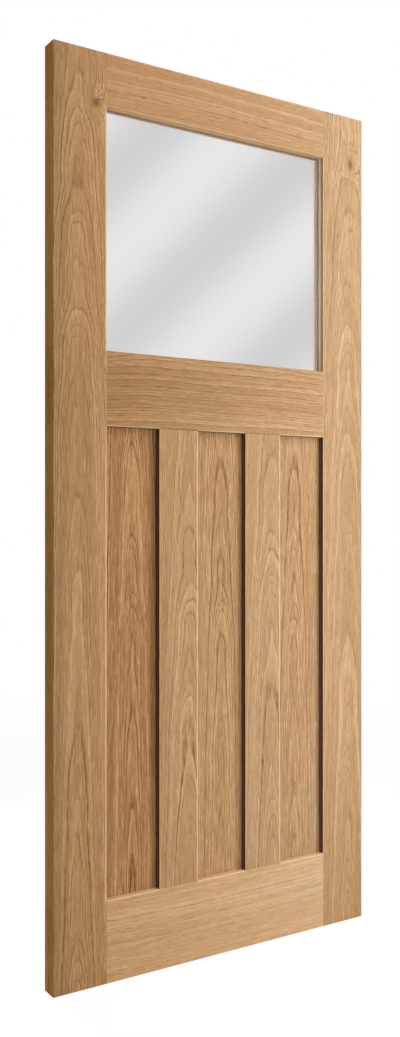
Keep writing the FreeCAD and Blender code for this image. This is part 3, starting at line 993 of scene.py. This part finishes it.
@dataclass
class DoorFrame:
    """Stiles, rails and muntins."""

    # The casts of the rails and right-hand members are partly painted sheen, paler and bluer towards the
    # right and the top. Wear is partly painted highlight, and the left stile's shade is painted shade on
    # its outer side.
    cuts: tuple[OakCut, ...] = (
        OakCut("left_stile", GrainRun.UPRIGHT, seed=3.1, centre=-0.006, figure=1.3, tone=0.97,
               wear=(0.1, 0.8), butting=("top_rail", "middle_rail", "bottom_rail"), shade=0.16,
               ring_width=0.0030,
               heart=((0.0, 14.0), (0.16, 22.0), (0.34, 27.0), (0.62, 34.0), (0.80, 37.0), (1.15, 44.0),
                      (1.34, 50.0), (1.48, 60.0), (1.58, 63.0), (1.70, 71.0), (1.98, 80.0)),
               knots=(Knot(0.098, 1.872, 0.020),), edges=(EdgeKind.OUTER, EdgeKind.REVEAL)),
        OakCut("right_stile", GrainRun.UPRIGHT, seed=7.4, centre=0.018, figure=0.9, tone=0.92,
               wear=(0.4, 0.1), butting=("top_rail", "middle_rail", "bottom_rail"),
               cast=(0.98, 1.01, 1.11), end_cast_and_sheen=(0.99, 1.07, 1.28), texture=0.85, ring_width=0.0024,
               heart=((0.0, 14.0), (0.20, 22.0), (0.55, 33.0), (0.75, 42.0), (1.05, 53.0), (1.35, 65.0),
                      (1.60, 77.0), (1.98, 92.0)),
               knots=(Knot(0.800, 1.866, 0.022),), edges=(EdgeKind.REVEAL, EdgeKind.OUTER)),
        OakCut("top_rail", GrainRun.LEVEL, seed=11.8, centre=0.110, figure=0.42, tone=0.95,
               wear=(0.3, 0.1), cast=(1.05, 1.01, 0.97), end_cast_and_sheen=(1.0, 1.10, 1.28), texture=0.5,
               ring_width=0.0058, heart=((0.0, 125.0), (0.40, 118.0), (0.84, 126.0)),
               edges=(EdgeKind.JOINT, EdgeKind.OUTER)),
        OakCut("middle_rail", GrainRun.LEVEL, seed=15.2, centre=-0.125, figure=1.0, tone=1.08,
               wear=(0.5, 0.0), butting=("left_muntin", "right_muntin"), cast=(0.88, 0.87, 0.86),
               end_cast_and_sheen=(1.12, 1.29, 1.65), texture=0.55, ring_width=0.0062,
               heart=((0.0, 100.0), (0.25, 112.0), (0.84, 106.0)),
               edges=(EdgeKind.REVEAL, EdgeKind.JOINT)),
        OakCut("bottom_rail", GrainRun.LEVEL, seed=19.7, centre=0.150, figure=0.4, tone=0.68,
               wear=(0.1, 0.9), butting=("left_muntin", "right_muntin"), cast=(1.07, 0.955, 0.835),
               end_cast_and_sheen=(1.10, 1.10, 1.16), texture=0.7, ring_width=0.0060,
               heart=((0.0, 115.0), (0.45, 122.0), (0.84, 112.0)),
               edges=(EdgeKind.OUTER, EdgeKind.JOINT)),
        OakCut("left_muntin", GrainRun.UPRIGHT, seed=23.3, centre=0.028, figure=1.3, tone=0.93,
               wear=(0.2, 0.8), cast=(1.0, 1.0, 1.04), texture=0.85, ring_width=0.0030,
               heart=((0.16, 20.0), (0.50, 34.0), (0.74, 44.0), (0.90, 53.0), (1.05, 59.0), (1.20, 62.0)),
               edges=(EdgeKind.REVEAL, EdgeKind.REVEAL)),
        OakCut("right_muntin", GrainRun.UPRIGHT, seed=27.9, centre=0.026, figure=1.3, tone=0.89,
               wear=(0.2, 0.9), cast=(0.99, 1.01, 1.09), texture=0.85, ring_width=0.0030,
               heart=((0.16, 20.0), (0.50, 33.0), (0.74, 43.0), (1.02, 58.0), (1.20, 63.0)),
               edges=(EdgeKind.REVEAL, EdgeKind.REVEAL)),
    )

    def dress(self, workshop: OakWorkshop) -> None:
        """Give every member of the frame its oak."""
        for cut in self.cuts:
            workshop.dress(cut)


@dataclass
class Panels:
    """The three flat panels and the openings that they show through."""

    cuts: tuple[OakCut, ...] = (
        OakCut("left_panel", GrainRun.UPRIGHT, seed=31.5, centre=0.006, figure=2.5, tone=1.10,
               cast=(0.99, 0.98, 0.97), texture=1.35, ring_width=0.0027,
               heart=((0.16, 22.0), (0.45, 27.0), (0.70, 32.0), (0.86, 40.0), (1.04, 44.0), (1.20, 49.0))),
        OakCut("centre_panel", GrainRun.UPRIGHT, seed=35.2, centre=0.007, figure=2.2, tone=0.91,
               cast=(1.0, 0.99, 0.98), texture=1.35, ring_width=0.0027,
               heart=((0.16, 19.0), (0.40, 25.0), (0.68, 31.0), (0.86, 39.0), (1.02, 43.0), (1.20, 49.0))),
        OakCut("right_panel", GrainRun.UPRIGHT, seed=39.6, centre=-0.014, figure=2.0, tone=0.88,
               cast=(0.99, 1.0, 1.03), texture=1.3, ring_width=0.0027,
               heart=((0.16, 21.0), (0.42, 27.0), (0.66, 32.0), (0.84, 40.0), (1.00, 44.0), (1.20, 49.0))),
    )
    neighbours: tuple[tuple[str, str], ...] = (
        ("left_stile", "left_muntin"),
        ("left_muntin", "right_muntin"),
        ("right_muntin", "right_stile"),
    )

    def dress(self, workshop: OakWorkshop) -> None:
        """Give each panel its oak, with painted shade darker round the edge of its opening.

        Args:
            workshop: The maker of the oak.
        """
        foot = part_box("bottom_rail")[1].z
        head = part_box("middle_rail")[0].z
        for cut, (left, right) in zip(self.cuts, self.neighbours):
            low = Vector((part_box(left)[1].x, 0.0, foot))
            high = Vector((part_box(right)[0].x, 0.0, head))
            workshop.dress(cut, (low, high))


@dataclass(frozen=True)
class GlassFinish:
    """Clear float glass with a light grey cast and faint smears."""

    tint: Colour = (0.690, 0.692, 0.691)
    ior: float = 1.52
    specular: float = 1.0
    coat: float = 1.0
    shadow: Colour = (0.80, 0.81, 0.80)
    smear_waves: Waves = (7.0, 7.0, 3.0)
    smear_seed: float = 2.0
    smear_span: Span = (0.45, 0.8)
    smear_roughness: float = 0.012


@dataclass
class Glazing:
    """The pane, its tapes and blocks, and the beads with their pins."""

    finish: GlassFinish = GlassFinish()
    # The tapes are coloured near white: painted light that lifts them out of the shade of the rebate.
    rubber: SpeckledFinish = SpeckledFinish(
        "tape_rubber_painted_light", dark=(0.78, 0.78, 0.77), pale=(0.90, 0.90, 0.89), frequency=900.0,
        roughness=0.62, spread=0.20)
    plastic: SpeckledFinish = SpeckledFinish(
        "block_plastic", dark=(0.066, 0.068, 0.066), pale=(0.094, 0.097, 0.094), frequency=500.0,
        roughness=0.42, spread=0.16)
    steel: SpeckledFinish = SpeckledFinish(
        "pin_steel", dark=(0.50, 0.47, 0.42), pale=(0.68, 0.66, 0.62), frequency=1400.0,
        roughness=0.25, spread=0.25, metallic=1.0)
    rubber_nodes: tuple[str, ...] = ("front_glazing_tape", "back_glazing_tape")
    plastic_nodes: tuple[str, ...] = ("left_setting_block", "right_setting_block")
    bead_seeds: dict[str, tuple[GrainRun, float]] = field(default_factory=lambda: {
        "bottom_glazing_bead": (GrainRun.LEVEL, 43.1),
        "right_glazing_bead": (GrainRun.UPRIGHT, 47.5),
        "top_glazing_bead": (GrainRun.LEVEL, 51.9),
        "left_glazing_bead": (GrainRun.UPRIGHT, 55.3),
    })
    bead_centre: float = 0.09
    bead_tone: float = 0.75
    bead_heart: tuple[tuple[float, float], ...] = ((0.0, 90.0), (1.0, 96.0))
    pin_radius: float = 1.1 * MILLIMETRE
    pin_rise: float = 0.4 * MILLIMETRE
    pin_inset: float = 2.25 * MILLIMETRE
    pin_spacing: float = 0.15
    pin_end_room: float = 0.045
    pin_sides: int = 12
    pin_dome: float = 0.9
    pin_dome_steps: int = 3

    def dress(self, workshop: OakWorkshop) -> None:
        """Dress every piece of the glazing and add the pins.

        Args:
            workshop: The maker of the oak.
        """
        self.dress_pane()
        speckle = Speckle()
        for finish, nodes in ((self.rubber, self.rubber_nodes), (self.plastic, self.plastic_nodes)):
            material = finish.make(speckle)
            for node in nodes:
                give_material(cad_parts[node], material)
                log.info("dressed %s in %s", node, finish.name)
        for node, (run, seed) in self.bead_seeds.items():
            workshop.dress(OakCut(node, run, seed=seed, centre=self.bead_centre, tone=self.bead_tone,
                                  heart=self.bead_heart))
        self.build_pins(speckle)

    def pin_places(self) -> list[Vector]:
        """Say where the pins are driven, along the middle of the flat of each bead's back.

        Returns:
            Centres of the heads on the beads' back faces.
        """
        places = []
        for node, (run, _) in self.bead_seeds.items():
            low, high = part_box(node)
            level = run is GrainRun.LEVEL
            along, across = (0, 2) if level else (2, 0)
            outer_low = node.startswith(("bottom", "left"))
            line = low[across] + self.pin_inset if outer_low else high[across] - self.pin_inset
            start = low[along] + self.pin_end_room
            run_length = high[along] - low[along] - 2 * self.pin_end_room
            count = round(run_length / self.pin_spacing)
            for index in range(count + 1):
                spot = start + index * run_length / count
                places.append(Vector((spot, high.y, line)) if level else Vector((line, high.y, spot)))
        return places

    def build_pins(self, speckle: Speckle) -> None:
        """Model the domed heads of the bead pins and give them bright steel.

        Args:
            speckle: The shared speckles.
        """
        shape = bmesh.new()
        for place in self.pin_places():
            stand = Matrix.Translation(place) @ Matrix.Rotation(-math.pi / 2, 4, "X")
            made = bmesh.ops.create_circle(shape, cap_ends=True, segments=self.pin_sides,
                                           radius=self.pin_radius, matrix=stand)
            face = made["verts"][0].link_faces[0]
            raised = bmesh.ops.extrude_face_region(shape, geom=[face])["geom"]
            crown = [part for part in raised if isinstance(part, bmesh.types.BMVert)]
            bmesh.ops.translate(shape, verts=crown, vec=(0.0, self.pin_rise, 0.0))
            edges = {edge for vert in crown for edge in vert.link_edges if edge.other_vert(vert) in crown}
            bmesh.ops.bevel(shape, geom=list(edges), offset=self.pin_rise * self.pin_dome,
                            offset_type="OFFSET", segments=self.pin_dome_steps, profile=0.5,
                            affect="EDGES", material=-1)
        bmesh.ops.recalc_face_normals(shape, faces=shape.faces)
        pins = new_piece("bead_pins", shape)
        pins.data.shade_smooth()
        give_material(pins, self.steel.make(speckle))
        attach(pins, BODY)
        log.info("built bead_pins")

    def dress_pane(self) -> None:
        """Give the pane clear glass with faint smears, which lets lamp light through."""
        glass = self.finish
        material, graph, place = new_material("pane_glass")
        shader = graph.tree.nodes["Principled BSDF"]
        smears = graph.noise(place, glass.smear_waves, glass.smear_seed, detail=3.0).outputs[0]
        smears = graph.math("MULTIPLY", graph.step(smears, *glass.smear_span), glass.smear_roughness)
        graph.feed(shader.inputs["Roughness"], smears)
        graph.feed(shader.inputs["Base Color"], glass.tint)
        graph.feed(shader.inputs["Transmission Weight"], 1.0)
        graph.feed(shader.inputs["IOR"], glass.ior)
        graph.feed(shader.inputs["Specular IOR Level"], glass.specular)
        graph.feed(shader.inputs["Coat Weight"], glass.coat)
        body = shader.outputs["BSDF"]
        clear = graph.node("ShaderNodeBsdfTransparent", glass.shadow).outputs["BSDF"]
        shadow_ray = graph.node("ShaderNodeLightPath").outputs["Is Shadow Ray"]
        either = graph.node("ShaderNodeMixShader", shadow_ray, body, clear)
        graph.feed(graph.tree.nodes["Material Output"].inputs["Surface"], either.outputs["Shader"])
        give_material(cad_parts["glass_pane"], material)
        log.info("dressed glass_pane in clear glass")


@dataclass(frozen=True)
class Lamp:
    """A rectangular soft lamp: where it hangs, what it points at, its size and its light.

    Mirrored says whether glass and polish show it, and spread how wide its light fans out, in degrees.
    """

    name: str
    place: Point
    target: Point
    size: tuple[float, float]
    watts: float
    mirrored: bool = False
    spread: float = 180.0

    def hang(self) -> None:
        """Hang the lamp in the studio, out of the camera's sight."""
        light = bpy.data.lights.new(self.name, "AREA")
        light.shape = "RECTANGLE"
        light.size, light.size_y = self.size
        light.energy = self.watts
        light.spread = math.radians(self.spread)
        lamp = bpy.data.objects.new(self.name, light)
        aim = (Vector(self.target) - Vector(self.place)).to_track_quat("-Z", "Y")
        lamp.matrix_world = Matrix.Translation(self.place) @ aim.to_matrix().to_4x4()
        lamp.visible_camera = False
        lamp.visible_glossy = self.mirrored
        lamp.visible_transmission = False
        bpy.context.scene.collection.objects.link(lamp)


@dataclass
class Studio:
    """Pale floor, white surroundings, soft lamps and the camera.

    The bands are the light and dark diagonals that the pane mirrors. Their lean, offset and width
    have one unit in common, so that the lean along a direction, less the offset, counts in widths.
    """

    image_size: tuple[int, int] = (400, 1037)
    focal_pixels: float = 1056.6
    sensor_width: float = 36.0
    camera_place: Point = (-0.920, -2.024, 0.9905)
    camera_turn: float = -32.58
    ambient: float = 0.30
    band_lean: Point = (1299.0, 0.0, -1026.5)
    band_offset: float = 346.5
    band_width: float = 177.0
    band_height: float = 0.95
    band_middle: float = 0.10
    band_front: Span = (-0.3, 0.3)
    mirror_level: float = 0.90
    floor_reach: float = 30.0
    floor_tone: float = 0.7
    floor_fade: Span = (1.2, 4.0)
    floor_shadow: float = 0.20
    floor_dimming: float = -0.12
    lamps: tuple[Lamp, ...] = (
        Lamp("front_box", (0.7, -2.3, 0.5), (0.55, 0.0, 1.0), (0.7, 1.4), 10.8),
        Lamp("side_strip", (1.1, -0.8, 1.15), (0.5, 0.0, 1.0), (0.35, 2.8), 8.8),
        Lamp("sheen_strip", (2.65, -1.7, 1.1), (0.7, 0.0, 1.0), (0.5, 2.2), 14.0, mirrored=True),
        Lamp("top_box", (0.9, -1.4, 3.2), (0.45, 0.0, 1.0), (1.6, 1.0), 15.5, mirrored=True),
        Lamp("edge_box", (-1.5, -0.25, 2.4), (0.0, 0.0, 1.7), (0.4, 0.4), 2.4),
        Lamp("back_fill", (0.12, 1.3, 1.4), (0.60, 0.0, 1.3), (0.4, 1.6), 21.0),
        Lamp("jamb_strip", (0.02, 0.25, 1.61), (0.715, 0.0, 1.61), (0.03, 0.50), 0.08, spread=15.0),
    )

    def build(self) -> None:
        """Set up the whole studio."""
        bpy.context.scene.view_settings.view_transform = "Standard"
        self.build_world()
        self.build_floor()
        for lamp in self.lamps:
            lamp.hang()
        self.build_camera()

    def build_world(self) -> None:
        """Make surroundings that are white to look at, banded in a mirror and dimmer as a light."""
        world = bpy.data.worlds.new("studio")
        bpy.context.scene.world = world
        world.use_nodes = True
        graph = Graph(world.node_tree)
        light = graph.node("ShaderNodeLightPath").outputs
        seen = graph.math("MAXIMUM", light["Is Camera Ray"], light["Is Transmission Ray"])
        strength = graph.math("MULTIPLY_ADD", seen, 1.0 - self.ambient, self.ambient)
        facing = graph.node("ShaderNodeTexCoord").outputs["Generated"]
        spot = graph.math("SUBTRACT", graph.dot(facing, self.band_lean), self.band_offset)
        wave = graph.math("COSINE", graph.math("MULTIPLY", spot, math.tau / self.band_width))
        front = graph.step(graph.dot(facing, (0.0, -1.0, 0.0)), *self.band_front)
        bands = graph.math("MULTIPLY_ADD", wave, self.band_height, self.band_middle)
        bands = graph.math("MULTIPLY_ADD", bands, front, self.mirror_level)
        mirror = graph.math("MULTIPLY", light["Is Glossy Ray"], graph.flip(light["Is Transmission Ray"]))
        mirrored = graph.math("MULTIPLY", mirror, graph.math("SUBTRACT", bands, strength))
        backdrop = graph.tree.nodes["Background"].inputs
        graph.feed(backdrop["Color"], WHITE)
        graph.feed(backdrop["Strength"], graph.math("ADD", strength, mirrored))

    def build_floor(self) -> None:
        """Lay a pale floor that keeps the leaf's shadow and is white further out."""
        shape = bmesh.new()
        bmesh.ops.create_grid(shape, x_segments=1, y_segments=1, size=self.floor_reach)
        floor = new_piece("floor", shape)
        material, graph, place = new_material("pale_floor")
        nodes = graph.tree.nodes
        nodes.remove(nodes["Principled BSDF"])
        away = graph.node("ShaderNodeVectorMath", place, operation="LENGTH").outputs["Value"]
        near = graph.flip(graph.step(away, *self.floor_fade))
        light = graph.node("ShaderNodeLightPath").outputs
        seen = graph.math("MAXIMUM", light["Is Camera Ray"], light["Is Transmission Ray"])
        seen = graph.math("MAXIMUM", seen, light["Is Glossy Ray"])
        darker = graph.math("SUBTRACT", graph.math("MULTIPLY", near, self.floor_shadow), self.floor_tone)
        shade = graph.node("ShaderNodeBsdfDiffuse")
        graph.feed(shade.inputs["Color"], graph.math("MULTIPLY_ADD", seen, darker, self.floor_tone))
        glow = graph.node("ShaderNodeEmission")
        white = graph.math("MULTIPLY_ADD", near, self.floor_dimming, 1.0)
        graph.feed(glow.inputs["Strength"], graph.math("MULTIPLY", seen, white))
        both = graph.node("ShaderNodeAddShader", shade.outputs["BSDF"], glow.outputs["Emission"])
        graph.feed(nodes["Material Output"].inputs["Surface"], both.outputs["Shader"])
        give_material(floor, material)

    def build_camera(self) -> None:
        """Stand the camera level at mid-height, turned towards the leaf as in the photograph."""
        lens = bpy.data.cameras.new("camera")
        lens.sensor_width = self.sensor_width
        lens.lens = self.sensor_width * self.focal_pixels / max(self.image_size)
        camera = bpy.data.objects.new("camera", lens)
        level = Matrix.Rotation(math.pi / 2, 4, "X")
        turn = Matrix.Rotation(math.radians(self.camera_turn), 4, "Z")
        camera.matrix_world = Matrix.Translation(self.camera_place) @ turn @ level
        bpy.context.scene.collection.objects.link(camera)
        bpy.context.scene.camera = camera


def main() -> None:
    """Dress the leaf and set up the studio."""
    logging.basicConfig(level=logging.INFO, format="%(name)s: %(message)s")
    workshop = OakWorkshop(OakFinish())
    DoorFrame().dress(workshop)
    Panels().dress(workshop)
    Glazing().dress(workshop)
    Studio().build()


if __name__ == "__main__":
    main()
